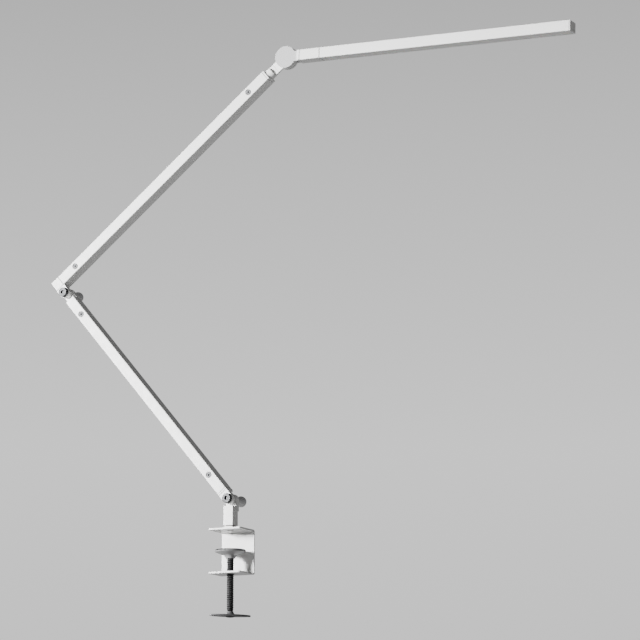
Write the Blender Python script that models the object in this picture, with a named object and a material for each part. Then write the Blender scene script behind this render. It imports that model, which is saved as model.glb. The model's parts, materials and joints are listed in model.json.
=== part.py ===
"""Architect desk lamp: clamp, post, two tube arms, swivel neck and LED bar.

The script works in millimetres and scales to metres as each mesh is made. The origin is on the
pan axis, at the underside of the clamp's top flange, where the lamp sits on a desk. +Z is up and
-Y is the side that the socket screws face. Both arms and the head lie in the XZ plane.
"""
import math

import bmesh
import bpy
from mathutils import Matrix, Vector

MM = 0.001
GAP = 0.3              # clearance between touching solids
SEAM = 0.6             # open seam between a tube and its end fitting
ROUND = 28             # sides of a round piece
SMALL = 16             # sides of a small round piece

# Clamp bracket
SHEET = 2.2
BRACKET_W = 50.0
BRACKET_FRONT = -19.2
BRACKET_BACK = 24.2
BRACKET_H = 62.0
BEND_R = 3.7
CORNER_R = 3.0
JAW_TOP = 0.0
BRACKET_TOP = JAW_TOP + SHEET
BRACKET_BOTTOM = BRACKET_TOP - BRACKET_H
JAW_FLOOR = BRACKET_BOTTOM + SHEET

# Jaw pad and clamp screw
PAD_R = 21.3
PAD_RIM = -28.2
FACING_T = 1.5
SCREW_R = 4.95
SCREW_TIP = -31.5
THREAD_END = -110.0
WING_TOP = -115.2
WING_T = 2.4
WING_L = 29.5
WING_W = 12.0
WING_TURN = 46.0
SPIGOT_R = 2.8

# Post and pan joint
POST_W = 14.0
POST_D = 16.0
PAN_BASE_T = 3.0
PAN_BOLT_R = 2.5
POST_BOTTOM = 6.7
POST_SHOULDER = 33.4
PAN_GROOVE_Z = 17.0

# Arms: square-cornered tube, 15 high in the arm's plane and 20 along the hinge axes
HALF_H = 7.5
HALF_D = 10.0
TUBE_R = 1.0
WALL = 1.2
EAR_R = 7.5
EAR_GAP = 0.6          # each ear starts this far from the mid plane
BOLT_R = 2.5
BOLT_HEAD_R = 6.6
PIVOT_WASHER_R = 7.0
HOLE_R = BOLT_R + 0.4
SHOULDER_Z = 43.35
LOWER_TURN = 130.42    # the lower arm's angle above +X, degrees
LOWER_L = 410.0
LOWER_TUBE = (15.0, 395.4)
UPPER_TURN = 38.93
UPPER_OFF = 17.2       # the elbow pin is this far from the upper arm's centre line
UPPER_TUBE = (7.1, 425.7)
SCREW_IN = 30.2        # the countersunk screws are this far in from the tube ends
PLUG_Z = HALF_H - WALL - GAP
PLUG_Y = HALF_D - WALL - GAP

# Neck and disc hinge
CAP_END = 428.8
STEM_TOP = 436.8
TANG_SEAM = 443.4
NECK_R = 4.0
HINGE_X = 464.8
DISC_R = 15.5
TANG_T = 3.8
DISC_Y = (2.9, 6.4)
HEAD_TURN = -1.46

# Lamp head
CONNECTOR = (24.3, 54.1)
BAR = (55.1, 425.7)
HEAD_END = 427.8
BOARD = (72.0, 412.0)
LED_COUNT = 34

PAINTS = {
    "white_enamel": ((0.80, 0.80, 0.79), 0.38, 0.0),
    "bright_steel": ((0.60, 0.60, 0.61), 0.30, 1.0),
    "black_steel": ((0.035, 0.035, 0.038), 0.42, 0.8),
    "dark_steel": ((0.16, 0.16, 0.165), 0.45, 0.6),
    "brass": ((0.72, 0.53, 0.24), 0.30, 1.0),
    "grey_plastic": ((0.62, 0.62, 0.62), 0.50, 0.0),
    "black_plastic": ((0.03, 0.03, 0.03), 0.50, 0.0),
    "black_rubber": ((0.02, 0.02, 0.02), 0.85, 0.0),
    "opal_diffuser": ((0.92, 0.92, 0.90), 0.45, 0.0),
    "board_white": ((0.85, 0.86, 0.84), 0.55, 0.0),
    "board_green": ((0.03, 0.22, 0.10), 0.50, 0.0),
}


# ---------------------------------------------------------------- scene and materials

def clear_scene():
    for obj in list(bpy.data.objects):
        bpy.data.objects.remove(obj, do_unlink=True)


def paint(name):
    """The Principled material of that name, made on first use."""
    if name in bpy.data.materials:
        return bpy.data.materials[name]
    colour, roughness, metallic = PAINTS[name]
    material = bpy.data.materials.new(name)
    material.use_nodes = True
    shader = material.node_tree.nodes["Principled BSDF"]
    shader.inputs["Base Color"].default_value = (*colour, 1.0)
    shader.inputs["Roughness"].default_value = roughness
    shader.inputs["Metallic"].default_value = metallic
    return material


def frame(name, parent=None, at=(0.0, 0.0, 0.0), turn=0.0):
    """An empty on a joint axis. turn, in degrees, lifts its X axis towards +Z."""
    empty = bpy.data.objects.new(name, None)
    empty.location = Vector(at) * MM
    empty.rotation_euler = (0.0, -math.radians(turn), 0.0)
    empty.parent = parent
    bpy.context.scene.collection.objects.link(empty)
    return empty


# ---------------------------------------------------------------- mesh makers

def solid(name, mesh_data, parent, material, edge=0.0):
    """Turn a bmesh in millimetres into a named object. edge rounds its sharp edges."""
    bmesh.ops.recalc_face_normals(mesh_data, faces=mesh_data.faces)
    mesh_data.transform(Matrix.Scale(MM, 4))
    mesh = bpy.data.meshes.new(name)
    mesh_data.to_mesh(mesh)
    mesh_data.free()
    mesh.shade_smooth()
    mesh.set_sharp_from_angle(angle=math.radians(35.0))
    obj = bpy.data.objects.new(name, mesh)
    obj.parent = parent
    bpy.context.scene.collection.objects.link(obj)
    if material:
        mesh.materials.append(paint(material))
    if edge:
        bevel = obj.modifiers.new("edges", "BEVEL")
        bevel.width = edge * MM
        bevel.segments = 1
        bevel.limit_method = "ANGLE"
        bevel.angle_limit = math.radians(50.0)
    return obj


def block(name, parent, material, x, y, z, edge=0.0):
    """A box between the low and high values in x, y and z."""
    size = Vector((x[1] - x[0], y[1] - y[0], z[1] - z[0]))
    centre = Vector((x[1] + x[0], y[1] + y[0], z[1] + z[0])) / 2.0
    data = bmesh.new()
    bmesh.ops.create_cube(data, size=1.0)
    data.transform(Matrix.Translation(centre) @ Matrix.Diagonal((*size, 1.0)))
    return solid(name, data, parent, material, edge)


def prism(name, parent, material, outline, low, high, axis="Y", edge=0.0):
    """An outline pushed along an axis: (x, z) along Y, (y, z) along X, or (x, y) along Z."""
    place = {
        "X": lambda a, b, along: (along, a, b),
        "Y": lambda a, b, along: (a, along, b),
        "Z": lambda a, b, along: (a, b, along),
    }[axis]
    data = bmesh.new()
    lower = [data.verts.new(place(a, b, low)) for a, b in outline]
    upper = [data.verts.new(place(a, b, high)) for a, b in outline]
    count = len(outline)
    data.faces.new(lower)
    data.faces.new(upper[::-1])
    for i in range(count):
        j = (i + 1) % count
        data.faces.new((lower[i], upper[i], upper[j], lower[j]))
    return solid(name, data, parent, material, edge)


def turned(name, parent, material, profile, axis="Y", centre=(0.0, 0.0, 0.0), sides=ROUND):
    """A turned piece. profile lists (radius, distance along the axis); radius 0 closes an end."""
    place = {
        "X": lambda radius, angle, along: (along, radius * math.cos(angle), radius * math.sin(angle)),
        "Y": lambda radius, angle, along: (radius * math.cos(angle), along, radius * math.sin(angle)),
        "Z": lambda radius, angle, along: (radius * math.cos(angle), radius * math.sin(angle), along),
    }[axis]
    middle = Vector(centre)
    data = bmesh.new()
    rings = []
    for radius, along in profile:
        if radius == 0.0:
            rings.append([data.verts.new(middle + Vector(place(0.0, 0.0, along)))])
            continue
        angles = [math.tau * i / sides for i in range(sides)]
        rings.append([data.verts.new(middle + Vector(place(radius, a, along))) for a in angles])
    closed = len(rings[0]) > 1
    pairs = list(zip(rings, rings[1:]))
    if closed:
        pairs.append((rings[-1], rings[0]))
    for first, second in pairs:
        for i in range(sides):
            j = (i + 1) % sides
            corners = [first[i % len(first)], first[j % len(first)]]
            corners += [second[j % len(second)], second[i % len(second)]]
            data.faces.new(list(dict.fromkeys(corners)))
    return solid(name, data, parent, material)


def tube(name, parent, material, x, z_mid=0.0):
    """A straight length of the arm tube along X, with rounded corners inside and out."""
    data = bmesh.new()
    loops = []
    for along in x:
        for inset, radius in ((0.0, TUBE_R), (WALL, TUBE_R * 0.4)):
            outline = rounded_box(HALF_D - inset, HALF_H - inset, radius)
            loops.append([data.verts.new((along, y, z + z_mid)) for y, z in outline])
    near_out, near_in, far_out, far_in = loops
    count = len(near_out)
    bands = ((near_out, far_out), (far_out, far_in), (far_in, near_in), (near_in, near_out))
    for first, second in bands:
        for i in range(count):
            j = (i + 1) % count
            data.faces.new((first[i], first[j], second[j], second[i]))
    return solid(name, data, parent, material)


# ---------------------------------------------------------------- outlines

def arc(centre, radius, start, end, steps):
    """Points along an arc, angles in degrees."""
    angles = [math.radians(start + (end - start) * i / steps) for i in range(steps + 1)]
    return [(centre[0] + radius * math.cos(a), centre[1] + radius * math.sin(a)) for a in angles]


def rounded_box(half_a, half_b, radius, steps=3):
    """A rectangle about the origin with round corners."""
    a, b = half_a - radius, half_b - radius
    outline = []
    for centre, start in (((a, b), 0), ((-a, b), 90), ((-a, -b), 180), ((a, -b), 270)):
        outline += arc(centre, radius, start, start + 90, steps)
    return outline


def ear_outline(length, toward):
    """A hinge ear: a half circle about the pin, and straight sides that reach length from it.

    toward is the direction of the straight sides, in degrees from +X towards +Z.
    """
    points = arc((0.0, 0.0), EAR_R, 90, 270, ROUND // 2) + [(length, -EAR_R), (length, EAR_R)]
    rotate = Matrix.Rotation(math.radians(toward), 2)
    return [tuple(rotate @ Vector(point)) for point in points]


def wing_outline():
    """The turning handle: a long oval that tapers to two blunt tips."""
    points = []
    for i in range(ROUND):
        angle = math.tau * i / ROUND
        width = WING_W * math.sin(angle) * (0.35 + 0.65 * abs(math.sin(angle)))
        points.append((WING_L * math.cos(angle), width))
    turn = math.radians(WING_TURN)
    rotate = Matrix.Rotation(turn, 2)
    return [tuple(rotate @ Vector(point)) for point in points]


def disc_outline():
    """The round of the tilt hinge's tang and of the two discs that grip it."""
    return arc((0.0, 0.0), DISC_R, 0, 360, 48)[:-1]


def bracket_outline():
    """The bent strip in side view, as (y, z): two flanges and the back plate."""
    back, front = BRACKET_BACK, BRACKET_FRONT
    top, bottom = BRACKET_TOP, BRACKET_BOTTOM
    outer, inner = BEND_R, BEND_R - SHEET
    upper_bend = (back - outer, top - outer)
    lower_bend = (back - outer, bottom + outer)
    outline = [(front, top)] + arc(upper_bend, outer, 90, 0, 5) + arc(lower_bend, outer, 0, -90, 5)
    outline += [(front, bottom), (front, bottom + SHEET)]
    outline += arc(lower_bend, inner, -90, 0, 5) + arc(upper_bend, inner, 0, 90, 5)
    return outline + [(front, top - SHEET)]


# ---------------------------------------------------------------- cutting and joining

def combine(target, operation, tools):
    for tool in tools:
        tool.hide_render = True
        tool.display_type = "WIRE"
        change = target.modifiers.new(tool.name, "BOOLEAN")
        change.operation = operation
        change.object = tool
    return target


def cut(target, *tools):
    return combine(target, "DIFFERENCE", tools)


def join(target, *tools):
    return combine(target, "UNION", tools)


def drill(name, parent, radius, low, high, axis="Y", centre=(0.0, 0.0, 0.0)):
    """A cutter for a round hole."""
    profile = [(0.0, low), (radius, low), (radius, high), (0.0, high)]
    return turned(name, parent, None, profile, axis, centre, SMALL)


# ---------------------------------------------------------------- fasteners

def hex_socket(name, parent, radius, low, high, centre):
    profile = [(0.0, low), (radius, low), (radius, high), (0.0, high)]
    return turned(name, parent, None, profile, "Y", centre, 6)


def countersunk_screw(name, parent, x, z):
    """A flat-headed socket screw, its head just under the front face of the tube."""
    face = -HALF_D
    profile = [(0.0, face + 0.3), (3.8, face + 0.3), (3.9, face + 0.55), (2.0, face + 2.35)]
    profile += [(2.0, face + 9.0), (0.0, face + 9.0)]
    screw = turned(name, parent, "bright_steel", profile, "Y", (x, 0.0, z), SMALL)
    return cut(screw, hex_socket(name + "_hex", parent, 1.45, face - 1.0, face + 1.8, (x, 0.0, z)))


def countersink(name, parent, x, z):
    """The cutter that seats a countersunk screw."""
    face = -HALF_D
    profile = [(0.0, face - 0.5), (4.7, face - 0.5), (4.7, face + 0.7), (4.3, face + 0.7), (2.35, face + 2.6)]
    profile += [(2.35, face + 9.5), (0.0, face + 9.5)]
    return turned(name, parent, None, profile, "Y", (x, 0.0, z), SMALL)


def pivot_bolt(name, parent):
    """A socket-head bolt through a half-lap joint: head in front, thread behind."""
    front = -HALF_D - GAP - 0.8 - GAP
    head = front - 3.0
    profile = [(0.0, head), (BOLT_HEAD_R - 0.6, head), (BOLT_HEAD_R, head + 0.6), (BOLT_HEAD_R, front)]
    profile += [(BOLT_R, front), (BOLT_R, 26.0), (0.0, 26.0)]
    bolt = turned(name, parent, "bright_steel", profile, sides=SMALL)
    return cut(bolt, hex_socket(name + "_hex", parent, 2.9, head - 1.0, head + 2.0, (0.0, 0.0, 0.0)))


def washer(name, parent, material, radius, low, high, bore=HOLE_R, axis="Y", centre=(0.0, 0.0, 0.0)):
    profile = [(bore, low), (radius, low), (radius, high), (bore, high)]
    return turned(name, parent, material, profile, axis, centre)


def hand_knob(name, parent):
    """A round hand knob with a narrow neck, open in front for its threaded insert."""
    front = HALF_D + GAP + 0.8 + GAP
    bore_end = front + 15.9
    profile = [(0.0, front + 25.0), (3.6, front + 24.7), (6.0, front + 23.6), (7.3, front + 21.7)]
    profile += [(7.7, front + 19.2), (7.5, front + 16.5), (6.7, front + 13.5), (5.8, front + 10.0)]
    profile += [(5.3, front + 6.0), (5.2, front), (4.35, front), (4.35, bore_end), (0.0, bore_end)]
    turned(name, parent, "grey_plastic", profile)
    insert = [(BOLT_R + 0.3, front + GAP), (4.0, front + GAP), (4.0, front + 15.5)]
    insert += [(BOLT_R + 0.3, front + 15.5)]
    turned(name + "_insert", parent, "brass", insert, sides=SMALL)


# ---------------------------------------------------------------- clamp

def build_clamp(base):
    """The bracket that grips the desk, its threaded nut, and the fixed half of the pan joint."""
    half = BRACKET_W / 2.0
    bracket = prism("clamp_bracket", base, "white_enamel", bracket_outline(), -half, half, "X")
    corner = []
    for side in (-1, 1):
        inner, outer = side * (half - CORNER_R), side * (half + 2.0)
        points = arc((inner, BRACKET_FRONT + CORNER_R), CORNER_R, 270, 270 + 90 * side, 5)
        points += [(outer, BRACKET_FRONT + CORNER_R), (outer, BRACKET_FRONT - 2.0)]
        points += [(inner, BRACKET_FRONT - 2.0)]
        name = "corner_cut_left" if side < 0 else "corner_cut_right"
        corner.append(prism(name, base, None, points, BRACKET_BOTTOM - 2.0, BRACKET_TOP + 2.0, "Z"))
    sink = [(0.0, -1.0), (5.1, -1.0), (5.1, 0.1), (2.9, 2.0), (2.9, 4.0), (0.0, 4.0)]
    seat = turned("pan_sink", base, None, sink, "Z", sides=SMALL)
    nut_hole = drill("nut_hole", base, 6.6, BRACKET_BOTTOM - 1.0, JAW_FLOOR + 1.0, "Z")
    cut(bracket, *corner, seat, nut_hole)

    bore = SCREW_R + 0.35
    nut = [(bore, BRACKET_BOTTOM + 0.1), (6.3, BRACKET_BOTTOM + 0.1), (6.3, JAW_FLOOR + GAP)]
    nut += [(8.0, JAW_FLOOR + GAP), (8.0, JAW_FLOOR + 1.7), (bore, JAW_FLOOR + 1.7)]
    turned("clamp_nut", base, "bright_steel", nut, "Z")

    low = BRACKET_TOP + GAP
    high = low + PAN_BASE_T
    half_w, half_d = POST_W / 2.0, POST_D / 2.0
    foot = block("pan_base", base, "white_enamel", (-half_w, half_w), (-half_d, half_d), (low, high), 0.5)
    cut(foot, drill("pan_base_hole", base, HOLE_R, low - 1.0, high + 1.0, "Z"))
    washer("pan_washer", base, "black_plastic", 6.6, high + GAP, high + GAP + 0.6, axis="Z")
    bolt = [(0.0, 0.1), (4.5, 0.1), (4.6, 0.3), (PAN_BOLT_R, 2.2), (PAN_BOLT_R, PAN_GROOVE_Z - 1.6)]
    bolt += [(1.7, PAN_GROOVE_Z - 1.3), (1.7, PAN_GROOVE_Z + 1.3), (PAN_BOLT_R, PAN_GROOVE_Z + 1.6)]
    bolt += [(PAN_BOLT_R, 22.0), (0.0, 22.0)]
    turned("pan_bolt", base, "bright_steel", bolt, "Z", sides=SMALL)


def build_jaw_pad(base):
    """The round pad that rises against the desk, and its rubber facing."""
    cup_bore = SCREW_R + 0.35
    cup = [(0.0, PAD_RIM), (PAD_R - 0.3, PAD_RIM), (PAD_R, PAD_RIM - 0.3), (PAD_R, PAD_RIM - 1.2)]
    cup += [(15.0, PAD_RIM - 3.8), (8.9, PAD_RIM - 6.0), (7.0, PAD_RIM - 8.2), (6.4, PAD_RIM - 10.4)]
    cup += [(cup_bore, PAD_RIM - 10.4), (cup_bore, PAD_RIM - 3.0), (0.0, PAD_RIM - 3.0)]
    turned("pad_cup", base, "grey_plastic", cup, "Z")
    low = PAD_RIM + GAP
    facing = [(0.0, low), (20.6, low), (20.8, low + 0.2), (20.8, low + FACING_T), (0.0, low + FACING_T)]
    turned("pad_facing", base, "black_rubber", facing, "Z")


def build_clamp_screw(base):
    """The threaded screw, turned by a flat wing riveted to its lower end."""
    screw = [(0.0, SCREW_TIP), (3.2, SCREW_TIP), (SCREW_R, SCREW_TIP - 1.4), (SCREW_R, THREAD_END)]
    screw += [(SPIGOT_R, THREAD_END), (SPIGOT_R, WING_TOP - WING_T), (0.0, WING_TOP - WING_T)]
    turned("clamp_screw", base, "black_steel", screw, "Z")

    wing = prism("wing_handle", base, "dark_steel", wing_outline(), WING_TOP - WING_T, WING_TOP,
                 "Z", 0.5)
    hub = [(0.0, THREAD_END - GAP), (4.3, THREAD_END - GAP), (4.6, THREAD_END - 2.0)]
    hub += [(5.6, THREAD_END - 4.0), (7.6, WING_TOP + 0.1), (7.6, WING_TOP - 0.5), (0.0, WING_TOP - 0.5)]
    join(wing, turned("wing_hub", base, None, hub, "Z"))
    hole = drill("wing_hole", base, SPIGOT_R + GAP, WING_TOP - WING_T - 1.0, THREAD_END + 1.0, "Z")
    cut(wing, hole)
    low = WING_TOP - WING_T - GAP
    rivet = [(0.0, low), (6.0, low), (5.6, low - 0.7), (4.2, low - 1.2), (0.0, low - 1.4)]
    turned("handle_rivet", base, "bright_steel", rivet, "Z", sides=SMALL)


# ---------------------------------------------------------------- post and shoulder

def build_post(base, shoulder):
    """The post that pans on the clamp and carries the rear ear of the shoulder."""
    half_w, half_d = POST_W / 2.0, POST_D / 2.0
    span = (POST_BOTTOM, POST_SHOULDER)
    post = block("post", base, "white_enamel", (-half_w, half_w), (-half_d, half_d), span)
    drop = SHOULDER_Z - POST_SHOULDER + 6.5
    ear = prism("post_ear", shoulder, None, ear_outline(drop, -90.0), EAR_GAP, HALF_D)
    join(post, ear)
    pin_hole = drill("post_pin_hole", shoulder, HOLE_R, -HALF_D - 1.0, HALF_D + 1.0)
    pan_hole = drill("post_pan_hole", base, PAN_BOLT_R + GAP, POST_BOTTOM - 1.0, 23.0, "Z")
    grub_hole = drill("post_grub_hole", base, 1.8, 1.0, half_d + 1.0, "Y", (0.0, 0.0, PAN_GROOVE_Z))
    cut(post, pin_hole, pan_hole, grub_hole)

    grub = turned("pan_grub_screw", base, "bright_steel",
                  [(0.0, 2.1), (0.9, 2.1), (1.5, 3.0), (1.5, half_d - 0.2), (0.0, half_d - 0.2)],
                  "Y", (0.0, 0.0, PAN_GROOVE_Z), SMALL)
    cut(grub, hex_socket("pan_grub_hex", base, 0.8, half_d - 1.4, half_d + 1.0, (0.0, 0.0, PAN_GROOVE_Z)))
    washer("shoulder_friction_washer", shoulder, "black_plastic", PIVOT_WASHER_R, -GAP, GAP)
    washer("shoulder_rear_washer", shoulder, "bright_steel", 6.0, HALF_D + GAP, HALF_D + GAP + 0.8)


# ---------------------------------------------------------------- lower arm

def build_lower_arm(arm, elbow_pin):
    """The lower tube with its end fittings: the front ear at the shoulder, the rear at the elbow."""
    first, last = LOWER_TUBE
    screws = (first + SCREW_IN, last - SCREW_IN)
    shell = tube("lower_arm_tube", arm, "white_enamel", LOWER_TUBE)
    for number, x in enumerate(screws, 1):
        name = "lower_arm_screw_%d" % number
        countersunk_screw(name, arm, x, 0.0)
        cut(shell, countersink(name + "_seat", arm, x, 0.0))

    collar_end = first - SEAM
    ear = prism("shoulder_ear", arm, "white_enamel", ear_outline(11.4, 0.0), -HALF_D, -EAR_GAP)
    core = block("shoulder_core", arm, None, (9.9, 13.0), (-9.4, 9.4), (-6.9, 6.9))
    collar = block("shoulder_collar", arm, None, (12.0, collar_end), (-HALF_D, HALF_D), (-HALF_H, HALF_H))
    plug = block("shoulder_plug", arm, None, (13.5, screws[0] + 9.0), (-PLUG_Y, PLUG_Y),
                 (-PLUG_Z, PLUG_Z))
    join(ear, core, collar, plug)
    cut(ear, drill("shoulder_hole", arm, HOLE_R, -HALF_D - 1.0, 1.0),
        countersink("shoulder_screw_hole", arm, screws[0], 0.0))

    tang = block("elbow_tang", arm, "white_enamel", (screws[1] - 9.0, last + 0.4),
                 (-PLUG_Y, PLUG_Y), (-PLUG_Z, PLUG_Z))
    join(tang, prism("tang_ear", elbow_pin, None, ear_outline(LOWER_L - last - GAP, 180.0),
                     EAR_GAP, HALF_D))
    cut(tang, drill("tang_hole", elbow_pin, HOLE_R, -HALF_D - 1.0, HALF_D + 1.0),
        countersink("tang_screw_hole", arm, screws[1], 0.0))

    pivot_bolt("shoulder_bolt", arm)
    washer("shoulder_front_washer", arm, "bright_steel", PIVOT_WASHER_R, -HALF_D - GAP - 0.8, -HALF_D - GAP)
    washer("elbow_friction_washer", elbow_pin, "black_plastic", PIVOT_WASHER_R, -GAP, GAP)
    washer("elbow_rear_washer", elbow_pin, "bright_steel", 6.0, HALF_D + GAP, HALF_D + GAP + 0.8)


# ---------------------------------------------------------------- upper arm

def build_upper_arm(arm):
    """The upper tube, the corner block with the elbow's front ear, and the swivel end."""
    first, last = UPPER_TUBE
    screws = (first + SCREW_IN - 0.3, last - SCREW_IN - 2.5)
    shell = tube("upper_arm_tube", arm, "white_enamel", UPPER_TUBE, UPPER_OFF)
    for number, x in enumerate(screws, 1):
        name = "upper_arm_screw_%d" % number
        countersunk_screw(name, arm, x, UPPER_OFF)
        cut(shell, countersink(name + "_seat", arm, x, UPPER_OFF))

    low, high = UPPER_OFF - HALF_H, UPPER_OFF + HALF_H
    plug_z = (UPPER_OFF - PLUG_Z, UPPER_OFF + PLUG_Z)
    plug_y = (-PLUG_Y, PLUG_Y)
    corner = block("elbow_block", arm, "white_enamel", (-7.4, first - SEAM), (-HALF_D, HALF_D),
                   (low, high), 0.5)
    ear = prism("elbow_front_ear", arm, None, ear_outline(low - 0.5, 90.0), -HALF_D, -EAR_GAP)
    core = block("elbow_core", arm, None, (-6.7, 6.1), (-9.4, -1.2), (5.0, 12.0))
    plug = block("elbow_plug", arm, None, (5.0, screws[0] + 9.0), plug_y, plug_z)
    join(corner, ear, core, plug)
    cut(corner, drill("elbow_hole", arm, HOLE_R, -HALF_D - 1.0, 1.0),
        countersink("elbow_screw_hole", arm, screws[0], UPPER_OFF))
    pivot_bolt("elbow_bolt", arm)
    washer("elbow_front_washer", arm, "bright_steel", PIVOT_WASHER_R, -HALF_D - GAP - 0.8, -HALF_D - GAP)

    cap = block("upper_end_cap", arm, "white_enamel", (last + SEAM, CAP_END), (-HALF_D, HALF_D),
                (low, high), 0.4)
    join(cap, block("cap_plug", arm, None, (screws[1] - 9.0, last + 1.5), plug_y, plug_z))
    bore_start = 411.0
    on_axis = (0.0, 0.0, UPPER_OFF)
    cut(cap, drill("cap_bore", arm, 5.4, bore_start, CAP_END + 1.0, "X", on_axis),
        countersink("cap_screw_hole", arm, screws[1], UPPER_OFF))
    bush = [(NECK_R + 0.3, 421.0), (5.1, 421.0), (5.1, CAP_END - 0.2), (NECK_R + 0.3, CAP_END - 0.2)]
    turned("neck_bush", arm, "black_plastic", bush, "X", on_axis)
    grub_at = (418.0, 0.0, UPPER_OFF)
    grub = turned("neck_grub_screw", arm, "bright_steel",
                  [(0.0, 3.5), (0.9, 3.5), (1.5, 4.4), (1.5, HALF_D - 0.1), (0.0, HALF_D - 0.1)],
                  "Y", grub_at, SMALL)
    cut(grub, hex_socket("neck_grub_hex", arm, 0.8, HALF_D - 1.4, HALF_D + 1.0, grub_at))
    for piece, name in ((cap, "cap_grub_hole"), (shell, "tube_grub_hole")):
        cut(piece, drill(name, arm, 1.8, 2.0, HALF_D + 1.0, "Y", grub_at))


# ---------------------------------------------------------------- neck

def build_neck(neck, hinge):
    """The swivelling stem and the flat tang that the head's two discs grip."""
    profile = [(0.0, 412.0), (NECK_R - 0.4, 412.0), (NECK_R, 412.4), (NECK_R, 416.0), (3.1, 416.6)]
    profile += [(3.1, 419.4), (NECK_R, 420.0), (NECK_R, CAP_END + GAP), (8.3, CAP_END + GAP)]
    profile += [(7.9, CAP_END + 1.2), (7.6, CAP_END + 2.6), (7.5, STEM_TOP), (0.0, STEM_TOP)]
    stem = turned("neck_stem", neck, "white_enamel", profile, "X")
    half_t = TANG_T / 2.0
    join(stem, block("stem_root", neck, None, (STEM_TOP - 2.0, TANG_SEAM - GAP), (-half_t, half_t),
                     (-HALF_H + 0.1, HALF_H - 0.1)))

    tang = prism("neck_tang", hinge, "white_enamel", disc_outline(), -half_t, half_t)
    join(tang, block("tang_blade", neck, None, (TANG_SEAM, HINGE_X - 6.0), (-half_t, half_t),
                     (-HALF_H + 0.1, HALF_H - 0.1)))
    cut(tang, drill("tang_bore", hinge, HOLE_R, -4.0, 4.0))
    for number, z in enumerate((-4.2, 4.2), 1):
        name = "tang_pin_%d" % number
        low, high = TANG_SEAM - 4.0, TANG_SEAM + 4.0
        pin = [(0.0, low), (0.8, low), (0.8, high), (0.0, high)]
        turned(name, neck, "bright_steel", pin, "X", (0.0, 0.0, z), 12)
        for piece, label in ((stem, "_stem_hole"), (tang, "_tang_hole")):
            hole = drill(name + label, neck, 1.1, TANG_SEAM - 4.4, TANG_SEAM + 4.4, "X", (0.0, 0.0, z))
            cut(piece, hole)


# ---------------------------------------------------------------- lamp head

def build_head(head):
    """The disc hinge, the connector with its inlet, and the LED bar."""
    near, far = DISC_Y
    start = CONNECTOR[0]
    knuckle = block("head_knuckle", head, "white_enamel", (19.5, start - SEAM), (-HALF_D, HALF_D),
                    (-HALF_H, HALF_H), 0.5)
    inner = HALF_H - WALL - 0.5
    plug = block("knuckle_plug", head, None, (start - 2.0, start + 9.0), (-PLUG_Y + 0.3, PLUG_Y - 0.3),
                 (-inner, inner))
    discs = []
    for side, label in ((-1, "front"), (1, "rear")):
        low, high = sorted((side * near, side * far))
        discs.append(prism("disc_" + label, head, None, disc_outline(), low, high))
        discs.append(block("web_" + label, head, None, (5.0, 20.5), (low, high), (-7.2, 7.2)))
    join(knuckle, plug, *discs)
    cut(knuckle, drill("hinge_bore", head, HOLE_R, -far + 1.0, far + 1.0))
    bolt = [(0.0, -far + 1.4), (BOLT_R, -far + 1.4), (BOLT_R, far + GAP), (4.3, far + GAP)]
    bolt += [(4.3, far + 2.6), (3.8, far + 3.1), (0.0, far + 3.1)]
    screw = turned("hinge_bolt", head, "bright_steel", bolt, sides=SMALL)
    cut(screw, hex_socket("hinge_bolt_hex", head, 2.3, far + 1.2, far + 4.0, (0.0, 0.0, 0.0)))
    for side, label in ((-1, "front"), (1, "rear")):
        low, high = sorted((side * (TANG_T / 2.0 + 0.25), side * (near - 0.25)))
        washer("hinge_washer_" + label, head, "black_plastic", 12.0, low, high)

    connector = tube("head_connector", head, "white_enamel", CONNECTOR)
    inlet_at = (41.0, 0.0, 0.5)
    cut(connector, drill("inlet_hole", head, 4.4, 6.0, HALF_D + 1.0, "Y", inlet_at))
    inlet = [(0.0, 2.0), (4.0, 2.0), (4.0, HALF_D - 0.1), (2.8, HALF_D - 0.1), (2.8, 3.2), (1.0, 3.2)]
    inlet += [(1.0, 8.4), (0.0, 8.6)]
    turned("dc_inlet", head, "black_plastic", inlet, "Y", inlet_at, SMALL)
    block("control_board", head, "board_green", (35.0, 46.5), (-7.5, 7.5), (-5.8, -4.4))
    block("head_joiner", head, "grey_plastic", (48.0, 68.0), (-8.2, 8.2), (-3.9, 5.7))

    build_light_bar(head)


def build_light_bar(head):
    """The slotted bar, its LED board, the diffuser that closes the slot, and the end cap."""
    start, end = BAR
    lip_y, lip_z = 8.0, -5.5
    inner_y, inner_z = HALF_D - WALL, HALF_H - WALL
    outline = rounded_box(HALF_D, HALF_H, TUBE_R)
    bar = prism("led_housing", head, "white_enamel", outline, start, end, "X")
    past = (start - 1.0, end + 1.0)
    cut(bar, block("bar_cavity", head, None, past, (-inner_y, inner_y), (lip_z, inner_z)),
        block("bar_slot", head, None, past, (-lip_y, lip_y), (-HALF_H - 1.0, lip_z + 0.5)))

    step, edge = lip_y - GAP, inner_y - GAP
    profile = [(-step, -HALF_H + 0.2), (step, -HALF_H + 0.2), (step, lip_z + GAP), (edge, lip_z + GAP)]
    profile += [(edge, lip_z + 1.1), (-edge, lip_z + 1.1), (-edge, lip_z + GAP), (-step, lip_z + GAP)]
    prism("diffuser", head, "opal_diffuser", profile, start + 0.1, end - 0.1, "X")
    build_led_board(head)

    cap = block("head_end_cap", head, "white_enamel", (end + GAP, HEAD_END), (-HALF_D, HALF_D),
                (-HALF_H, HALF_H), 0.5)
    join(cap, block("end_cap_plug", head, None, (end - 11.0, end + 1.0), (-edge, edge),
                    (-4.0, inner_z - GAP)))


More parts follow.
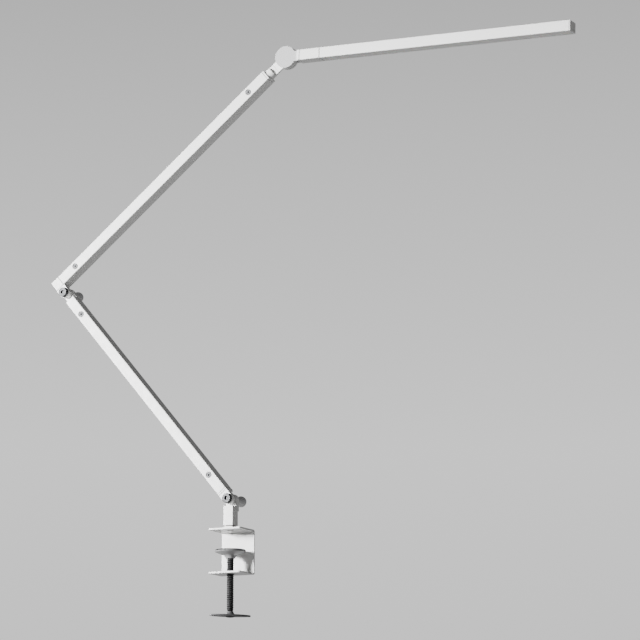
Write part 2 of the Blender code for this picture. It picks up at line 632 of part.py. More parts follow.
def build_led_board(head):
    """A board strip with a row of LED packages standing on its underside, all one body."""
    first, last = BOARD
    half_y, low, high, led_t, led = 8.0, 4.7, 5.9, 0.8, 3.0
    pitch = (last - first) / LED_COUNT
    stations = [first]
    for i in range(LED_COUNT):
        middle = first + pitch * (i + 0.5)
        stations += [middle - led / 2.0, middle + led / 2.0]
    stations.append(last)
    data = bmesh.new()
    across = (-half_y, -led / 2.0, led / 2.0, half_y)
    rows = [[data.verts.new((x, y, low)) for y in across] for x in stations]
    tops = [[data.verts.new((x, y, high)) for y in (-half_y, half_y)] for x in (first, last)]
    led_faces = []
    for i, (a, b) in enumerate(zip(rows, rows[1:])):
        for k in range(3):
            face = data.faces.new((a[k], b[k], b[k + 1], a[k + 1]))
            if k == 1 and i % 2 == 1:
                led_faces.append(face)
    data.faces.new([row[0] for row in rows] + [tops[1][0], tops[0][0]])
    data.faces.new([row[3] for row in rows] + [tops[1][1], tops[0][1]])
    data.faces.new(rows[0] + [tops[0][1], tops[0][0]])
    data.faces.new(rows[-1] + [tops[1][1], tops[1][0]])
    data.faces.new((tops[0][0], tops[0][1], tops[1][1], tops[1][0]))
    raised = bmesh.ops.extrude_discrete_faces(data, faces=led_faces)
    for face in raised["faces"]:
        bmesh.ops.translate(data, verts=face.verts, vec=(0.0, 0.0, -led_t))
    solid("led_board", data, head, "board_white")


# ---------------------------------------------------------------- assembly

def build_lamp():
    clear_scene()
    clamp = frame("clamp_origin")
    jaw = frame("jaw_axis", clamp)
    screw = frame("screw_axis", jaw)
    pan = frame("pan_axis", clamp)
    shoulder = frame("shoulder_axis", pan, (0.0, 0.0, SHOULDER_Z))
    lower = frame("lower_arm_axis", shoulder, turn=LOWER_TURN)
    elbow_pin = frame("elbow_pin", lower, (LOWER_L, 0.0, 0.0))
    upper = frame("upper_arm_axis", elbow_pin, turn=UPPER_TURN - LOWER_TURN)
    neck = frame("neck_axis", upper, (0.0, 0.0, UPPER_OFF))
    hinge = frame("hinge_pin", neck, (HINGE_X, 0.0, 0.0))
    head = frame("head_axis", hinge, turn=HEAD_TURN - UPPER_TURN)

    build_clamp(clamp)
    build_jaw_pad(jaw)
    build_clamp_screw(screw)
    build_post(pan, shoulder)
    build_lower_arm(lower, elbow_pin)
    hand_knob("shoulder_knob", lower)
    build_upper_arm(upper)
    hand_knob("elbow_knob", upper)
    build_neck(neck, hinge)
    build_head(head)


build_lamp()
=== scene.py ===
"""Looks for the architect desk lamp: finished metal, threads, mouldings, light and camera.

Everything is in metres, in the CAD model's frame. Each piece made here stands for one CAD node
and rides on that node's body. Small inner nodes keep their CAD mesh and only get a material.
"""

import json
import math

import bmesh
import bpy
from mathutils import Matrix, Vector


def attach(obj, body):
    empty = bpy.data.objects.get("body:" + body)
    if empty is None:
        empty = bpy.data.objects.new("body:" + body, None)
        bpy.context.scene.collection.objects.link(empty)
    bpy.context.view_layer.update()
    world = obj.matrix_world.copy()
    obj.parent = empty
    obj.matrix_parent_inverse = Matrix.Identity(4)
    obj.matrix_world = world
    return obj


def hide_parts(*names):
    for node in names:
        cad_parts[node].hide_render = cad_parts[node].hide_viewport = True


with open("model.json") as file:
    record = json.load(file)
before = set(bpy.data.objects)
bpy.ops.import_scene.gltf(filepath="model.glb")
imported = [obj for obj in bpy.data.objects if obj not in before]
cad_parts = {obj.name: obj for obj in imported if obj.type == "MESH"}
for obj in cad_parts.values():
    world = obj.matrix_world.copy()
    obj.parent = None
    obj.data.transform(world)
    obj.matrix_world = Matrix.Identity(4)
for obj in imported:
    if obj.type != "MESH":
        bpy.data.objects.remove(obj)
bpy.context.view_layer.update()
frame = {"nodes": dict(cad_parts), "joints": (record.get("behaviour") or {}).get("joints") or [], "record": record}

MM = 0.001
SIDES = 72             # sides of a turned piece
FINE_SIDES = 96        # sides of a wide or smoothly swelling one
CREASE = 32.0          # edges sharper than this, in degrees, stay crisp
THREAD_CREST = 4.95    # radii and pitch of the clamp screw's thread
THREAD_ROOT = 4.05
THREAD_PITCH = 3.0
FILL = 0.13            # tone of the studio's even fill

NODES = frame["nodes"]
JOINTS = {joint["name"]: joint for joint in frame["joints"]}
BODY_OF = {node: body for body, nodes in frame["record"]["behaviour"]["bodies"].items() for node in nodes}
SLOT_OF = {row["node"]: row["material_slot"] for row in frame["record"]["subparts"]}


# ---------------------------------------------------------------- local frames

def member_frame(origin, direction):
    """A matrix in millimetres to metres: X along direction, Y kept, at a joint's place."""
    x = Vector(direction).normalized()
    y = Vector((0.0, 1.0, 0.0))
    z = x.cross(y)
    turn = Matrix((x, y, z)).transposed().to_4x4()
    return Matrix.Translation(Vector(origin)) @ turn @ Matrix.Scale(MM, 4)


SHOULDER = Vector(JOINTS["shoulder"]["pos_m"])
ELBOW = Vector(JOINTS["elbow"]["pos_m"])
NECK_DIRECTION = Vector(JOINTS["neck_swivel"]["axis"])
HINGE = Vector(JOINTS["head_tilt"]["pos_m"])
HEAD_TURN = math.radians(-1.46)
UPPER_OFF = 17.2       # the upper tube's centre line is this far from the elbow pin, in millimetres

CLAMP_AT = Matrix.Scale(MM, 4)
LOWER_AT = member_frame(SHOULDER, ELBOW - SHOULDER)
UPPER_AT = member_frame(ELBOW, NECK_DIRECTION)
HEAD_AT = member_frame(HINGE, (math.cos(HEAD_TURN), 0.0, math.sin(HEAD_TURN)))
ALONG_Y = Matrix.Rotation(math.radians(-90.0), 4, "X")


# ---------------------------------------------------------------- materials

class Paint:
    """A small builder for one procedural material."""

    def __init__(self, name, colour, roughness, metallic=0.0):
        self.material = bpy.data.materials.new(name)
        self.material.use_nodes = True
        self.tree = self.material.node_tree
        self.shader = self.tree.nodes["Principled BSDF"]
        self.colour = colour
        self.shader.inputs["Base Color"].default_value = (*colour, 1.0)
        self.shader.inputs["Roughness"].default_value = roughness
        self.shader.inputs["Metallic"].default_value = metallic
        self.place = self.node("ShaderNodeTexCoord").outputs["Object"]

    def node(self, kind, **values):
        made = self.tree.nodes.new(kind)
        for key, value in values.items():
            setattr(made, key, value)
        return made

    def link(self, source, target):
        self.tree.links.new(source, target)

    def noise(self, scale, detail=3.0, stretch=(1.0, 1.0, 1.0), rough=0.5):
        """Noise with scale in cells per metre, stretched along the object's axes."""
        mapping = self.node("ShaderNodeMapping")
        mapping.inputs["Scale"].default_value = stretch
        self.link(self.place, mapping.inputs["Vector"])
        noise = self.node("ShaderNodeTexNoise")
        noise.inputs["Scale"].default_value = scale
        noise.inputs["Detail"].default_value = detail
        noise.inputs["Roughness"].default_value = rough
        self.link(mapping.outputs["Vector"], noise.inputs["Vector"])
        return noise.outputs["Fac"]

    def ranged(self, source, low, high, start=0.3, stop=0.7):
        """source from start to stop, mapped to low to high."""
        node = self.node("ShaderNodeMapRange")
        for key, value in zip(("From Min", "From Max", "To Min", "To Max"), (start, stop, low, high)):
            node.inputs[key].default_value = value
        self.link(source, node.inputs["Value"])
        return node.outputs["Result"]

    def blended(self, factor, first, second):
        """A colour between first and second, each a colour or another node's output."""
        node = self.node("ShaderNodeMix", data_type="RGBA")
        self.link(factor, node.inputs["Factor"])
        for key, value in (("A", first), ("B", second)):
            socket = next(s for s in node.inputs if s.name == key and s.type == "RGBA")
            if isinstance(value, tuple):
                socket.default_value = (*value, 1.0)
            else:
                self.link(value, socket)
        return next(s for s in node.outputs if s.type == "RGBA")

    def mottled(self, scale, amount, **settings):
        """The base colour, lighter and darker by amount over patches of that scale."""
        dark = tuple(channel * (1.0 - amount) for channel in self.colour)
        light = tuple(min(channel * (1.0 + amount), 1.0) for channel in self.colour)
        mixed = self.blended(self.ranged(self.noise(scale, **settings), 0.0, 1.0), dark, light)
        self.link(mixed, self.shader.inputs["Base Color"])
        return mixed

    def uneven(self, scale, low, high, **settings):
        """Roughness that wanders between low and high."""
        self.link(self.ranged(self.noise(scale, **settings), low, high), self.shader.inputs["Roughness"])

    def bumps(self, *layers):
        """Bump from (height output, depth in metres) layers."""
        normal = None
        for height, depth in layers:
            bump = self.node("ShaderNodeBump")
            bump.inputs["Distance"].default_value = depth
            bump.inputs["Strength"].default_value = 0.6
            self.link(height, bump.inputs["Height"])
            if normal:
                self.link(normal, bump.inputs["Normal"])
            normal = bump.outputs["Normal"]
        self.link(normal, self.shader.inputs["Normal"])

    def radius(self):
        """Distance from the frame's Z axis, in metres."""
        flat = self.node("ShaderNodeVectorMath", operation="MULTIPLY")
        self.link(self.place, flat.inputs[0])
        flat.inputs[1].default_value = (1.0, 1.0, 0.0)
        length = self.node("ShaderNodeVectorMath", operation="LENGTH")
        self.link(flat.outputs["Vector"], length.inputs[0])
        return length.outputs["Value"]


def enamel():
    """Satin powder coat: faint orange peel, fine sparkle of the powder, slight clouding."""
    paint = Paint("white_enamel", (0.80, 0.80, 0.79), 0.36)
    paint.mottled(9.0, 0.012)
    paint.uneven(160.0, 0.32, 0.42)
    paint.bumps((paint.noise(750.0, 2.0), 0.00003), (paint.noise(3200.0, 1.0), 0.000008))
    paint.shader.inputs["Coat Weight"].default_value = 0.12
    paint.shader.inputs["Coat Roughness"].default_value = 0.22
    return paint.material


def satin_cover():
    """Light grey satin plate with faint brushing, on the disc's front cheek."""
    paint = Paint("disc_cover", (0.38, 0.38, 0.385), 0.45)
    paint.mottled(700.0, 0.05, stretch=(1.0, 1.0, 4.0))
    paint.uneven(500.0, 0.4, 0.52)
    paint.bumps((paint.noise(1500.0, 2.0, stretch=(1.0, 1.0, 5.0)), 0.00001))
    return paint.material


def zinc_steel():
    """Dull zinc-plated steel, with fine turning marks and darker clouds."""
    paint = Paint("bright_steel", (0.105, 0.107, 0.11), 0.6, 1.0)
    paint.mottled(520.0, 0.35)
    paint.uneven(900.0, 0.52, 0.68)
    paint.bumps((paint.noise(2600.0, 2.0, stretch=(1.0, 6.0, 1.0)), 0.000012))
    return paint.material


def thread_steel():
    """Oiled black oxide, rubbed to grey along the thread's crests, with painted highlight on the crests and
    painted shade down in the thread's valleys.
    """
    paint = Paint("black_steel", (0.014, 0.014, 0.016), 0.42, 0.0)
    # Lighter towards the crests and darker in the valleys: partly wear, partly painted highlight on the crests and
    # painted shade in the valleys.
    crest_wear_and_light = paint.ranged(paint.radius(), 0.0, 1.0, THREAD_ROOT * MM, THREAD_CREST * MM)
    scuff = paint.ranged(paint.noise(900.0, 3.0), 0.4, 1.0, 0.35, 0.6)
    both = paint.node("ShaderNodeMath", operation="MULTIPLY")
    paint.link(crest_wear_and_light, both.inputs[0])
    paint.link(scuff, both.inputs[1])
    # Near-black in the valleys is painted shade; grey on the crests is wear and painted highlight, broken up by
    # scuffs.
    colour = paint.blended(both.outputs["Value"], (0.003, 0.003, 0.003), (0.06, 0.06, 0.062))
    paint.link(colour, paint.shader.inputs["Base Color"])
    paint.uneven(700.0, 0.48, 0.62)
    paint.bumps((paint.noise(1800.0, 3.0), 0.00002))
    paint.shader.inputs["Specular IOR Level"].default_value = 0.18
    return paint.material


def wing_coat():
    """Dark grey textured coat of the turning handle."""
    paint = Paint("dark_steel", (0.115, 0.115, 0.118), 0.5, 0.3)
    paint.mottled(60.0, 0.08)
    paint.uneven(300.0, 0.42, 0.58)
    paint.bumps((paint.noise(1500.0, 2.0), 0.00005))
    return paint.material


def brass():
    paint = Paint("brass", (0.70, 0.51, 0.22), 0.3, 1.0)
    paint.mottled(500.0, 0.08)
    paint.uneven(900.0, 0.24, 0.4)
    paint.bumps((paint.noise(2400.0, 2.0, stretch=(1.0, 8.0, 1.0)), 0.00001))
    return paint.material


def grey_moulding(name, grey):
    """Spark-eroded moulded plastic in a plain grey."""
    paint = Paint(name, (grey, grey, grey * 1.01), 0.5)
    paint.mottled(40.0, 0.02)
    paint.uneven(400.0, 0.44, 0.58)
    paint.bumps((paint.noise(1900.0, 2.0), 0.00003))
    return paint.material


def black_moulding():
    paint = Paint("black_plastic", (0.028, 0.028, 0.029), 0.45)
    paint.mottled(80.0, 0.12)
    paint.uneven(400.0, 0.4, 0.55)
    paint.bumps((paint.noise(1900.0, 2.0), 0.00002))
    return paint.material


def rubber():
    """Matt rubber with a dusty bloom."""
    paint = Paint("black_rubber", (0.024, 0.024, 0.025), 0.85)
    paint.mottled(220.0, 0.35, detail=6.0)
    paint.uneven(300.0, 0.76, 0.92)
    paint.bumps((paint.noise(1300.0, 4.0), 0.00005))
    return paint.material


def opal():
    """Opal acrylic with a satin face."""
    paint = Paint("opal_diffuser", (0.86, 0.86, 0.84), 0.4)
    paint.mottled(30.0, 0.01)
    paint.uneven(250.0, 0.36, 0.46)
    paint.bumps((paint.noise(1200.0, 2.0), 0.00001))
    paint.shader.inputs["Subsurface Weight"].default_value = 0.15
    paint.shader.inputs["Subsurface Scale"].default_value = 0.001
    return paint.material


def circuit(name, colour):
    """Solder mask over the weave of the board."""
    paint = Paint(name, colour, 0.5)
    paint.mottled(500.0, 0.05)
    paint.uneven(600.0, 0.4, 0.55)
    paint.bumps((paint.noise(2500.0, 1.0), 0.00001))
    return paint.material


MATERIALS = {
    "white_enamel": enamel(),
    "bright_steel": zinc_steel(),
    "black_steel": thread_steel(),
    "dark_steel": wing_coat(),
    "brass": brass(),
    "grey_plastic": grey_moulding("grey_plastic", 0.27),
    "knob_plastic": grey_moulding("knob_plastic", 0.52),
    "disc_cover": satin_cover(),
    "black_plastic": black_moulding(),
    "black_rubber": rubber(),
    "opal_diffuser": opal(),
    "board_white": circuit("board_white", (0.82, 0.83, 0.80)),
    "board_green": circuit("board_green", (0.03, 0.20, 0.09)),
}


# ---------------------------------------------------------------- making pieces

def piece(name, data, node, crease=CREASE, finish=None):
    """Turn a bmesh in metres into the piece that stands for a CAD node."""
    bmesh.ops.recalc_face_normals(data, faces=data.faces)
    mesh = bpy.data.meshes.new(name)
    data.to_mesh(mesh)
    data.free()
    mesh.shade_smooth()
    mesh.set_sharp_from_angle(angle=math.radians(crease))
    obj = bpy.data.objects.new(name, mesh)
    bpy.context.scene.collection.objects.link(obj)
    mesh.materials.append(MATERIALS[finish or SLOT_OF[node]])
    even = obj.modifiers.new("even_normals", "WEIGHTED_NORMAL")
    even.keep_sharp = True
    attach(obj, BODY_OF[node])
    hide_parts(node)
    return obj


def refined(node, edge, segments=3):
    """The CAD node's own shape with its sharp edges rounded by edge, in millimetres."""
    data = bmesh.new()
    data.from_mesh(NODES[node].data)
    bmesh.ops.remove_doubles(data, verts=data.verts, dist=1e-6)
    bmesh.ops.dissolve_limit(data, angle_limit=math.radians(0.8), verts=data.verts, edges=data.edges)
    limit = math.radians(CREASE)
    sharp = [e for e in data.edges if len(e.link_faces) == 2 and e.calc_face_angle(0.0) > limit]
    bmesh.ops.bevel(data, geom=sharp, offset=edge * MM, offset_type="OFFSET", segments=segments,
                    profile=0.5, affect="EDGES", clamp_overlap=True)
    return piece(node + "_finish", data, node, 40.0)


def softened(profile, radius, steps=4):
    """A profile with its inner corners rounded. Points are (radius, along), in millimetres."""
    points = [Vector(p) for p in profile]
    out = [points[0]]
    for before, at, after in zip(points, points[1:], points[2:]):
        reach = min(radius, 0.4 * (before - at).length, 0.4 * (after - at).length)
        start = at + (before - at).normalized() * reach
        stop = at + (after - at).normalized() * reach
        for i in range(steps + 1):
            t = i / steps
            out.append(start * (1 - t) ** 2 + at * 2 * t * (1 - t) + stop * t * t)
    return out + [points[-1]]


def lathe(profile, place, sides=SIDES):
    """A bmesh of a (radius, along) profile turned about its Z axis, then put in place."""
    data = bmesh.new()
    rings = []
    for radius, along in profile:
        if radius < 1e-6:
            rings.append([data.verts.new((0.0, 0.0, along))])
            continue
        ring = []
        for i in range(sides):
            angle = math.tau * i / sides
            ring.append(data.verts.new((radius * math.cos(angle), radius * math.sin(angle), along)))
        rings.append(ring)
    pairs = list(zip(rings, rings[1:]))
    if len(rings[0]) > 1:
        pairs.append((rings[-1], rings[0]))
    for first, second in pairs:
        for i in range(sides):
            j = (i + 1) % sides
            corners = [first[i % len(first)], first[j % len(first)]]
            corners += [second[j % len(second)], second[i % len(second)]]
            data.faces.new(list(dict.fromkeys(corners)))
    data.transform(place)
    return data


def slab(outline, low, high, edge, place, steps=3):
    """An outline in the frame's XY plane, between two heights, with its rims rounded by edge."""
    count = len(outline)
    normals = []
    for i in range(count):
        along = Vector(outline[(i + 1) % count]) - Vector(outline[i - 1])
        normals.append(Vector((along.y, -along.x)).normalized())
    levels = []
    for i in range(steps + 1):
        angle = math.pi / 2 * i / steps
        levels.append((edge * (1 - math.sin(angle)), low + edge * (1 - math.cos(angle))))
    levels += [(inset, high + low - along) for inset, along in reversed(levels)]
    data = bmesh.new()
    rings = []
    for inset, along in levels:
        ring = [Vector(p) - n * inset for p, n in zip(outline, normals)]
        rings.append([data.verts.new((p.x, p.y, along)) for p in ring])
    data.faces.new(rings[0][::-1])
    data.faces.new(rings[-1])
    for first, second in zip(rings, rings[1:]):
        for i in range(count):
            j = (i + 1) % count
            data.faces.new((first[i], first[j], second[j], second[i]))
    data.transform(place)
    return data


def merged(first, second, operation):
    """Two bmeshes combined exactly into one."""
    made = []
    for data in (first, second):
        bmesh.ops.recalc_face_normals(data, faces=data.faces)
        mesh = bpy.data.meshes.new("scratch")
        data.to_mesh(mesh)
        data.free()
        obj = bpy.data.objects.new("scratch", mesh)
        bpy.context.scene.collection.objects.link(obj)
        made.append(obj)
    change = made[0].modifiers.new("combine", "BOOLEAN")
    change.operation = operation
    change.object = made[1]
    bpy.context.view_layer.update()
    result = bmesh.new()
    result.from_object(made[0], bpy.context.evaluated_depsgraph_get())
    for obj in made:
        bpy.data.objects.remove(obj)
    return result


def hex_socket(radius, low, high, place):
    """A cutter for a hexagon socket that opens towards high."""
    return lathe([(0.0, low), (radius, low + 0.4), (radius, high), (0.0, high)], place, 6)


# ---------------------------------------------------------------- clamp

def threaded(place, node):
    """The clamp screw: a rolled thread between a plain tip and the spigot of the handle."""
    top, bottom, pitch = -33.2, -110.0, THREAD_PITCH
    root, crest = THREAD_ROOT, THREAD_CREST
    form = [(0.0, 0.0), (0.2, 0.0), (0.4, 0.93), (0.46, 1.0), (0.66, 1.0), (0.72, 0.93), (0.92, 0.0)]
    around, runout, weld = 60, 1.2 * pitch, 1e-4
    tip, spigot = 2.9, 2.8
    turns = math.ceil((top - bottom) / pitch) + 2
    rows = [(turn + at, height) for turn in range(turns) for at, height in form]
    per_turn = len(form)
    data = bmesh.new()
    grid = []
    for at, height in rows:
        line = []
        for j in range(around):
            raw = bottom + pitch * (at - 1.0 + j / around)
            z = min(max(raw, bottom), top)
            fade = min(1.0, (z - bottom) / runout, (top - z) / runout)
            r = root + (crest - root) * height * fade
            angle = math.tau * j / around
            line.append(data.verts.new((r * math.cos(angle), r * math.sin(angle), z)))
        grid.append(line)
    for i in range(len(rows) - 1):
        for j in range(around):
            k, shift = (j + 1) % around, per_turn if j == around - 1 else 0
            if i + 1 + shift < len(rows):
                data.faces.new((grid[i][j], grid[i + shift][k], grid[i + 1 + shift][k], grid[i + 1][j]))
    bmesh.ops.remove_doubles(data, verts=data.verts, dist=weld)
    bmesh.ops.dissolve_degenerate(data, edges=data.edges, dist=1e-5)
    flat = [f for f in data.faces if max(v.co.z for v in f.verts) - min(v.co.z for v in f.verts) < weld]
    bmesh.ops.delete(data, geom=flat, context="FACES")
    loose = [v for v in data.verts if not v.link_faces]
    bmesh.ops.delete(data, geom=loose, context="VERTS")
    tip_end = [(root, top + 0.8), (tip, top + 1.7)]
    spigot_end = [(spigot, bottom - 0.05), (spigot, bottom - 7.6)]
    for level, steps in ((top, tip_end), (bottom, spigot_end)):
        rim = [v for v in data.verts if v.is_boundary and abs(v.co.z - level) < 1e-3]
        rim.sort(key=lambda v: math.atan2(v.co.y, v.co.x))
        for radius, along in steps:
            grown = []
            for vert in rim:
                spot = Vector((vert.co.x, vert.co.y)).normalized() * radius
                grown.append(data.verts.new((*spot, along)))
            for i in range(len(rim)):
                j = (i + 1) % len(rim)
                data.faces.new((rim[i], rim[j], grown[j], grown[i]))
            rim = grown
        data.faces.new(rim)
    data.transform(place)
    return piece("clamp_screw_thread", data, node, 50.0)


def make_pad():
    """The dished pad and its rubber facing with moulded rings."""
    rim, wide, bore, foot = -28.2, 21.3, 5.3, 10.4
    cup = [(0.0, rim), (wide - 0.4, rim), (wide, rim - 0.4), (wide, rim - 1.3), (15.0, rim - 3.8)]
    cup += [(9.2, rim - 5.8), (7.1, rim - 8.2), (6.4, rim - foot), (bore, rim - foot)]
    cup += [(bore, rim - 3.0), (0.0, rim - 3.0)]
    piece("pad_cup_moulding", lathe(softened(cup, 1.6, 6), CLAMP_AT, FINE_SIDES), "pad_cup", 50.0)
    low, high, edge = rim + 0.3, rim + 1.8, 20.8
    facing = [(0.0, low), (edge - 0.2, low), (edge, low + 0.3), (edge, high - 0.3), (edge - 0.4, high)]
    rings, step, groove = 6, 3.0, 0.45
    for ring in range(rings):
        outer = 19.0 - step * ring
        facing += [(outer, high), (outer - 0.35, high - groove), (outer - 0.75, high - groove)]
        facing += [(outer - 1.1, high)]
    facing.append((0.0, high))
    piece("pad_rubber", lathe(facing, CLAMP_AT, FINE_SIDES), "pad_facing")


def make_handle():
    """The pressed wing with its hub, and the rivet under it."""
    top, thick, length, width = -115.2, 2.4, 29.5, 12.0
    points, hub_r, hole_r = 112, 7.6, 3.1
    turn = Matrix.Rotation(math.radians(46.0), 2)
    outline = []
    for i in range(points):
        angle = math.tau * i / points
        across = width * math.sin(angle) * (0.35 + 0.65 * abs(math.sin(angle)))
        outline.append(tuple(turn @ Vector((length * math.cos(angle), across))))
    wing = slab(outline, top - thick, top, 0.55, CLAMP_AT)
    hub = [(0.0, -110.3), (4.2, -110.3), (4.7, -112.0), (5.6, -114.0), (hub_r, top + 0.05)]
    hub += [(hub_r, top - 0.5), (0.0, top - 0.5)]
    whole = merged(wing, lathe(softened(hub, 1.2, 5), CLAMP_AT), "UNION")
    hole = lathe([(0.0, -118.0), (hole_r, -118.0), (hole_r, -109.0), (0.0, -109.0)], CLAMP_AT, 48)
    piece("wing_handle_pressing", merged(whole, hole, "DIFFERENCE"), "wing_handle", 38.0)
    low = top - thick - 0.3
    rivet = [(0.0, low), (6.0, low), (5.9, low - 0.5), (4.6, low - 1.1), (2.0, low - 1.4), (0.0, low - 1.4)]
    piece("handle_rivet_head", lathe(softened(rivet, 0.5), CLAMP_AT), "handle_rivet")


# ---------------------------------------------------------------- fasteners and knobs

def make_pivot(at, bolt, front_washer, rear_washer):
    """The socket-head bolt of a half-lap joint and the plain washers under head and knob."""
    place = at @ ALONG_Y
    face, seat, tip = -14.4, -11.4, 26.0
    head_r, shank, socket = 6.6, 2.5, 2.9
    shape = [(0.0, face), (head_r - 0.6, face), (head_r, face + 0.6), (head_r, seat), (shank, seat)]
    shape += [(shank, tip - 0.8), (shank - 0.4, tip), (0.0, tip)]
    solid = lathe(softened(shape, 0.25), place)
    solid = merged(solid, hex_socket(socket, face + 2.0, face - 1.6, place), "DIFFERENCE")
    piece(bolt + "_forged", solid, bolt)
    bore, thick = 2.9, 0.8
    for node, low, wide in ((front_washer, -11.1, 7.0), (rear_washer, 10.3, 6.0)):
        ring = [(bore, low + thick / 2), (bore, low), (wide, low), (wide, low + thick)]
        ring += [(bore, low + thick), (bore, low + thick / 2)]
        piece(node + "_stamped", lathe(softened(ring, 0.15)[:-1], place), node)


def make_countersunk(at, node, x, z=0.0):
    """A flat-headed socket screw, seen flush in the tube's front face."""
    place = at @ Matrix.Translation((x, 0.0, z)) @ ALONG_Y
    face, tip = -9.7, -1.0
    head_r, shank, socket = 3.9, 2.0, 1.45
    shape = [(0.0, face), (head_r - 0.1, face), (head_r, face + 0.25), (shank, face + 2.05)]
    shape += [(shank, tip - 0.3), (shank - 0.3, tip), (0.0, tip)]
    solid = lathe(softened(shape, 0.15), place, 48)
    solid = merged(solid, hex_socket(socket, face + 1.5, face - 1.3, place), "DIFFERENCE")
    piece(node + "_turned", solid, node)


def make_knob(at, node):
    """A smooth hand knob: a narrow neck that swells to a domed grip."""
    front, length, grip, bore, depth = 11.4, 25.0, 7.7, 4.35, 15.9
    shape = [(0.0, front + length), (3.6, front + 24.7), (6.0, front + 23.6), (7.3, front + 21.7)]
    shape += [(grip, front + 19.2), (7.5, front + 16.5), (6.7, front + 13.5), (5.8, front + 10.0)]
    shape += [(5.3, front + 6.0), (5.2, front + 0.4), (5.0, front), (bore, front)]
    shape += [(bore, front + depth), (0.0, front + depth)]
    solid = lathe(softened(shape, 2.2, 6), at @ ALONG_Y, FINE_SIDES)
    piece(node + "_moulding", solid, node, 48.0, "knob_plastic")


def cover_disc(knuckle):
    """Give the flat front of the disc its own satin plate."""
    knuckle.data.materials.append(MATERIALS["disc_cover"])
    reach = 15.0 * MM
    for face in knuckle.data.polygons:
        if face.normal.y < -0.99 and (face.center - HINGE).length < reach:
            face.material_index = 1


def make_hinge_bolt():
    """The socket-head bolt of the disc hinge, its head behind the rear cheek."""
    place = HEAD_AT @ ALONG_Y
    tip, seat, face = -5.0, 6.7, 9.5
    shank, head_r, socket = 2.5, 4.3, 2.3
    shape = [(0.0, tip), (shank, tip), (shank, seat), (head_r, seat), (head_r, face - 0.5)]
    shape += [(head_r - 0.5, face), (0.0, face)]
    solid = lathe(softened(shape, 0.25), place)
    solid = merged(solid, hex_socket(socket, face - 1.9, face + 1.5, place), "DIFFERENCE")
    piece("hinge_bolt_forged", solid, "hinge_bolt")


# ---------------------------------------------------------------- diffuser

def make_diffuser():
    """The opal strip, with fine ribs along its face, snapped into the bar's slot."""
    start, stop = 55.2, 425.6
    step, edge, face, ledge, back = 7.7, 8.5, -7.3, -5.2, -4.4
    ribs, points, depth, margin = 12, 6, 0.22, 0.9
    pitch = 2.0 * (step - margin) / ribs
    outline = [(-step, face)]
    for i in range(ribs):
        for k in range(points):
            y = -step + margin + pitch * (i + k / points)
            outline.append((y, face + depth * math.sin(math.pi * k / points)))
    outline += [(step - margin, face), (step, face), (step, ledge), (edge, ledge), (edge, back)]
    outline += [(-edge, back), (-edge, ledge), (-step, ledge)]
    data = bmesh.new()
    ends = []
    for x in (start, stop):
        ends.append([data.verts.new((x, y, z)) for y, z in outline])
    data.faces.new(ends[0])
    data.faces.new(ends[1][::-1])
    for i in range(len(outline)):
        j = (i + 1) % len(outline)
        data.faces.new((ends[0][i], ends[1][i], ends[1][j], ends[0][j]))
    data.transform(HEAD_AT)
    piece("diffuser_ribbed", data, "diffuser", 60.0)


# ---------------------------------------------------------------- all the pieces

# How far the sharp edges of each CAD shape are rounded, in millimetres.
EDGES = {
    "clamp_bracket": 0.3, "clamp_nut": 0.3, "pan_base": 0.3, "pan_bolt": 0.15, "post": 0.4,
    "pan_washer": 0.15, "shoulder_ear": 0.4, "lower_arm_tube": 0.2, "elbow_tang": 0.3, "elbow_block": 0.45,
    "upper_arm_tube": 0.2, "upper_end_cap": 0.35, "neck_stem": 0.35, "neck_tang": 0.5,
    "head_knuckle": 0.6, "head_connector": 0.2, "led_housing": 0.2, "head_end_cap": 0.4,
    "hinge_washer_front": 0.15, "hinge_washer_rear": 0.15, "shoulder_friction_washer": 0.12,
    "elbow_friction_washer": 0.12, "dc_inlet": 0.2, "neck_bush": 0.1,
    "pan_grub_screw": 0.1, "neck_grub_screw": 0.1,
}
finished = {node_name: refined(node_name, rounding) for node_name, rounding in EDGES.items()}
cover_disc(finished["head_knuckle"])

threaded(CLAMP_AT, "clamp_screw")
make_pad()
make_handle()
make_pivot(LOWER_AT, "shoulder_bolt", "shoulder_front_washer", "shoulder_rear_washer")
make_pivot(UPPER_AT, "elbow_bolt", "elbow_front_washer", "elbow_rear_washer")
make_countersunk(LOWER_AT, "lower_arm_screw_1", 45.2)
make_countersunk(LOWER_AT, "lower_arm_screw_2", 365.2)
make_countersunk(UPPER_AT, "upper_arm_screw_1", 37.0, UPPER_OFF)
make_countersunk(UPPER_AT, "upper_arm_screw_2", 393.0, UPPER_OFF)
make_knob(LOWER_AT, "shoulder_knob")
make_knob(UPPER_AT, "elbow_knob")
make_hinge_bolt()
make_diffuser()

for node_name, node_object in NODES.items():
    if not node_object.hide_render:
        node_object.data.materials.clear()
        node_object.data.materials.append(MATERIALS[SLOT_OF[node_name]])


# ---------------------------------------------------------------- floor, light and camera

def make_floor():
    """A plain pale floor, at desk height below the clamp."""
    paint = Paint("pale_floor", (0.70, 0.70, 0.70), 0.8)
    paint.mottled(3.0, 0.01)
    mesh = bpy.data.meshes.new("floor")
    half, level = 14.0, -0.74
    mesh.from_pydata([(-half, -half, level), (half, -half, level), (half, half, level), (-half, half, level)],
                     [], [(0, 1, 2, 3)])
    floor = bpy.data.objects.new("floor", mesh)
    mesh.materials.append(paint.material)
    bpy.context.scene.collection.objects.link(floor)


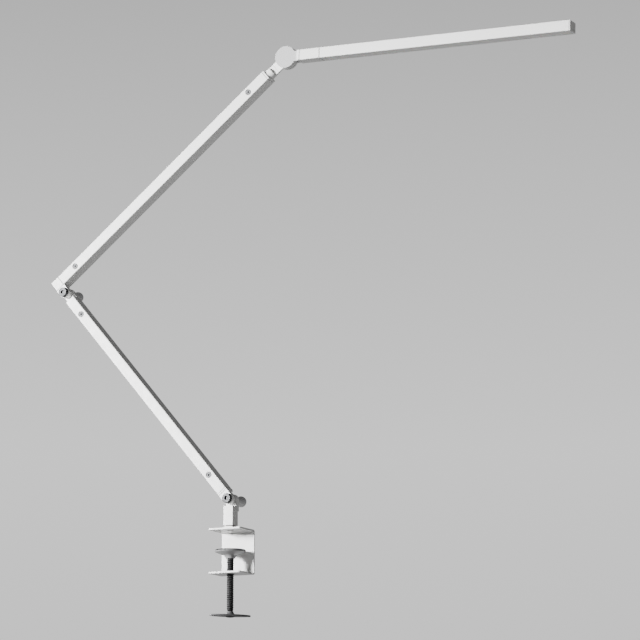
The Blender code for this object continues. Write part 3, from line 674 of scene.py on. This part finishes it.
def make_world():
    """A grey studio: a soft gradient behind the lamp and an even, dimmer fill on it."""
    world = bpy.data.worlds.new("studio")
    bpy.context.scene.world = world
    world.use_nodes = True
    tree = world.node_tree
    tree.nodes.clear()
    output = tree.nodes.new("ShaderNodeOutputWorld")
    place = tree.nodes.new("ShaderNodeTexCoord")
    split = tree.nodes.new("ShaderNodeSeparateXYZ")
    tree.links.new(place.outputs["Generated"], split.inputs["Vector"])
    ramp = tree.nodes.new("ShaderNodeValToRGB")
    stops = ((0.0, 0.80), (0.09, 0.90), (0.15, 0.97), (0.22, 0.80), (0.26, 0.70), (0.31, 0.56))
    while len(ramp.color_ramp.elements) < len(stops):
        ramp.color_ramp.elements.new(0.5)
    for element, (at, tone) in zip(ramp.color_ramp.elements, stops):
        element.position = at
        element.color = (tone, tone, tone, 1.0)
    tree.links.new(split.outputs["Z"], ramp.inputs["Fac"])
    seen = tree.nodes.new("ShaderNodeBackground")
    tree.links.new(ramp.outputs["Color"], seen.inputs["Color"])
    fill = tree.nodes.new("ShaderNodeBackground")
    fill.inputs["Color"].default_value = (FILL, FILL, FILL, 1.0)
    mix = tree.nodes.new("ShaderNodeMixShader")
    path = tree.nodes.new("ShaderNodeLightPath")
    tree.links.new(path.outputs["Is Camera Ray"], mix.inputs["Fac"])
    tree.links.new(fill.outputs["Background"], mix.inputs[1])
    tree.links.new(seen.outputs["Background"], mix.inputs[2])
    tree.links.new(mix.outputs["Shader"], output.inputs["Surface"])


def make_sun(name, toward, strength, softness):
    """A distant light that comes from the direction toward."""
    light = bpy.data.lights.new(name, "SUN")
    light.energy = strength
    light.angle = math.radians(softness)
    obj = bpy.data.objects.new(name, light)
    obj.rotation_euler = Vector(toward).to_track_quat("Z", "Y").to_euler()
    bpy.context.scene.collection.objects.link(obj)


def make_panel(name, aim, toward, distance, size, spread, power):
    """A square soft box with a grid, distance away from aim in the direction toward."""
    light = bpy.data.lights.new(name, "AREA")
    light.energy = power
    light.size = size
    light.spread = math.radians(spread)
    obj = bpy.data.objects.new(name, light)
    way = Vector(toward).normalized()
    obj.location = Vector(aim) + way * distance
    obj.rotation_euler = way.to_track_quat("Z", "Y").to_euler()
    bpy.context.scene.collection.objects.link(obj)


def make_camera():
    data = bpy.data.cameras.new("camera")
    data.lens = 166.56
    data.sensor_width = 36.0
    data.clip_end = 60.0
    camera = bpy.data.objects.new("camera", data)
    camera.location = (1.8734, -3.5777, -0.5015)
    camera.rotation_euler = (math.radians(101.15), 0.0, math.radians(25.9))
    bpy.context.scene.collection.objects.link(camera)
    bpy.context.scene.camera = camera


make_floor()
make_world()
make_panel("key", aim=(0.04, 0.0, 0.44), toward=(-0.62, -0.77, 0.10),
           distance=6.4, size=1.4, spread=24.0, power=40.0)
make_sun("back_fill", toward=(-0.7, 0.55, 0.45), strength=2.2, softness=20.0)
make_camera()
